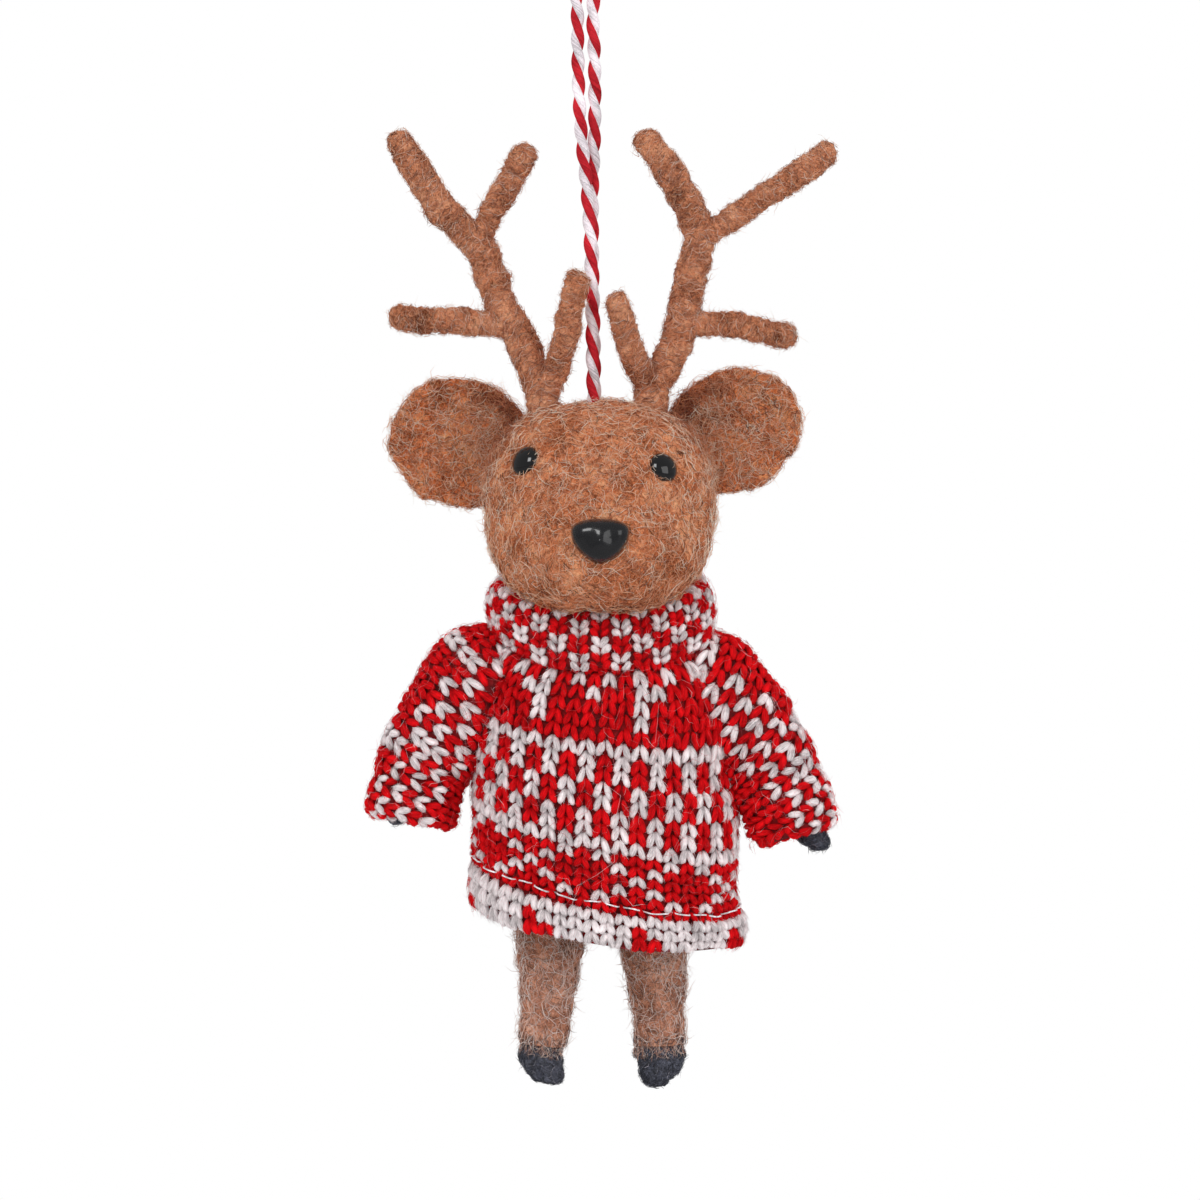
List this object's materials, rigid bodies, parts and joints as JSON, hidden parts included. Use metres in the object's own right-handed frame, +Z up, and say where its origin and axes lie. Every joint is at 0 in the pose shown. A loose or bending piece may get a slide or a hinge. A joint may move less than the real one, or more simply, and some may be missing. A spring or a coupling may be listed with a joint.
{
  "type": "reindeer ornament",
  "caption": "Hanging felted reindeer in a knitted jumper, with branched wire antlers, posable arms and legs, and a doubled twine loop.",
  "frame": {"origin": "underside of the twine loop's top bend, where a hook or twig carries the ornament", "axes": "+Z up, the face looks to -Y, +X to the viewer's right"},
  "size_m": [0.0663, 0.0364, 0.1678],
  "materials": {
    "felt_tan": "needle-felted wool, matt, with stray pale fibres",
    "wool_wrap": "wool wound round wire and felted, matt",
    "felt_dark": "dark navy-black wool felt, matt",
    "bead_gloss": "polished black bead",
    "nose_gloss": "polished black moulded plastic",
    "knit": "fine two-colour stocking-stitch knit, red and white",
    "twine": "two-colour laid cotton twine, red and white",
    "wire": "soft bright armature wire"
  },
  "bodies": {
    "hanger": {"hanging_cord": "twine"},
    "cord_end": {"cord_knot": "twine"},
    "figure": {"head": "felt_tan", "left_ear": "felt_tan", "right_ear": "felt_tan", "left_eye": "bead_gloss", "right_eye": "bead_gloss", "nose": "nose_gloss", "torso": "felt_tan", "jumper_body": "knit", "collar": "knit", "left_antler_wire": "wire", "left_antler_beam": "wool_wrap", "left_antler_brow_tine": "wool_wrap", "left_antler_side_tine": "wool_wrap", "left_antler_fork_tine": "wool_wrap", "right_antler_wire": "wire", "right_antler_beam": "wool_wrap", "right_antler_brow_tine": "wool_wrap", "right_antler_side_tine": "wool_wrap", "right_antler_fork_tine": "wool_wrap"},
    "left_arm": {"left_arm": "felt_tan", "left_arm_wire": "wire", "left_hand_hoof": "felt_dark", "left_sleeve": "knit"},
    "left_leg": {"left_leg": "wool_wrap", "left_leg_wire": "wire", "left_foot_hoof": "felt_dark"},
    "right_arm": {"right_arm": "felt_tan", "right_arm_wire": "wire", "right_hand_hoof": "felt_dark", "right_sleeve": "knit"},
    "right_leg": {"right_leg": "wool_wrap", "right_leg_wire": "wire", "right_foot_hoof": "felt_dark"}
  },
  "joints": [
    {"name": "swing", "type": "hinge", "parent": "hanger", "child": "cord_end", "pos_m": [0, 0, 0], "axis": [0, 1, 0], "range_deg": [-30, 30], "deforming": ["hanging_cord"]},
    {"name": "twist", "type": "hinge", "parent": "cord_end", "child": "figure", "pos_m": [0.001, 0, -0.0704], "axis": [0, 0, 1], "range_deg": [-180, 180]},
    {"name": "left_shoulder", "type": "hinge", "parent": "figure", "child": "left_arm", "pos_m": [-0.0156, 0, -0.1108], "axis": [0, 1, 0], "range_deg": [0, 50], "deforming": ["left_sleeve"]},
    {"name": "right_shoulder", "type": "hinge", "parent": "figure", "child": "right_arm", "pos_m": [0.0196, 0, -0.1108], "axis": [0, -1, 0], "range_deg": [0, 50], "deforming": ["right_sleeve"]},
    {"name": "left_hip", "type": "hinge", "parent": "figure", "child": "left_leg", "pos_m": [-0.0048, 0, -0.1326], "axis": [1, 0, 0], "range_deg": [-20, 20]},
    {"name": "right_hip", "type": "hinge", "parent": "figure", "child": "right_leg", "pos_m": [0.0088, 0, -0.1326], "axis": [1, 0, 0], "range_deg": [-20, 20]}
  ]
}
